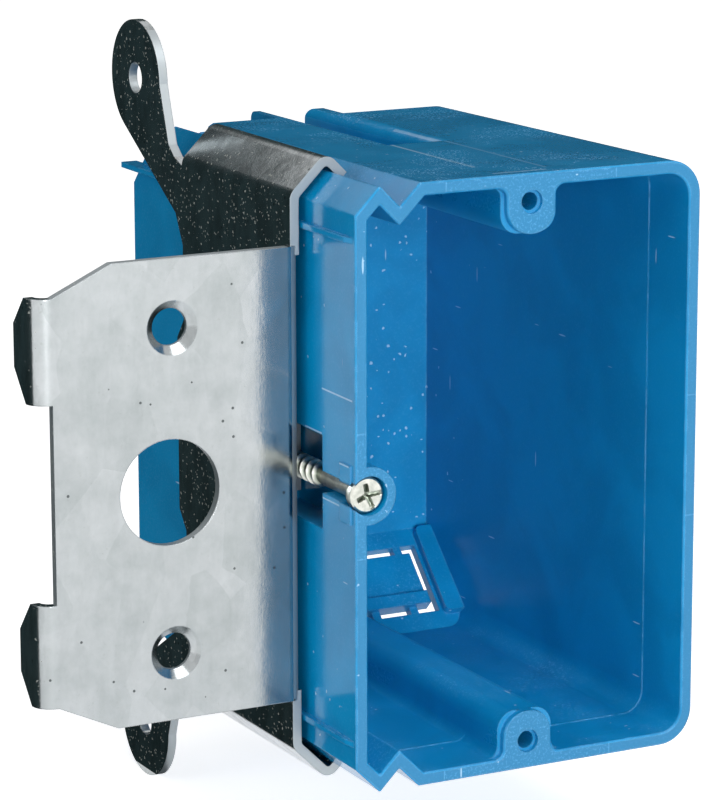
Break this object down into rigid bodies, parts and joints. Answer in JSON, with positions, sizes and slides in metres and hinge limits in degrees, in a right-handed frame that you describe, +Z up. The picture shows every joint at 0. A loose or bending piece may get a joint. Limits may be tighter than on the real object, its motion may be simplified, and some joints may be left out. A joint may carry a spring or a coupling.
{
  "type": "adjustable switch box",
  "caption": "Moulded plastic wall box that slides in a folded steel stud bracket, set for depth by one long screw.",
  "frame": {"origin": "midway between the two device screw holes, on the front face of the rim; the holes' narrow part starts 0.8 mm behind it", "axes": "+X to the right seen from the room, +Y into the wall, +Z up; the steel bracket is on the -X side"},
  "size_m": [0.103, 0.082, 0.126],
  "materials": {
    "box_pvc": "semi-gloss blue moulded PVC",
    "bracket_steel": "galvanised sheet steel, cut edges bare",
    "screw_steel": "bright zinc plating"
  },
  "bodies": {
    "bracket": {"bracket": "bracket_steel"},
    "box": {"box": "box_pvc"},
    "screw": {"adjusting_screw": "screw_steel"}
  },
  "joints": [
    {"name": "box_slide", "type": "slide", "parent": "bracket", "child": "box", "axis": [0, -1, 0], "range_m": [-0.0127, 0.0254]},
    {"name": "screw_turn", "type": "hinge", "parent": "box", "child": "screw", "pos_m": [-0.0272, 0.0008, 0], "axis": [0, -1, 0], "range_deg": [-2290, 4580]}
  ],
  "couplings": [
    {"joint": "screw_turn", "follows": "box_slide", "rad_per_m": 3141.6}
  ]
}
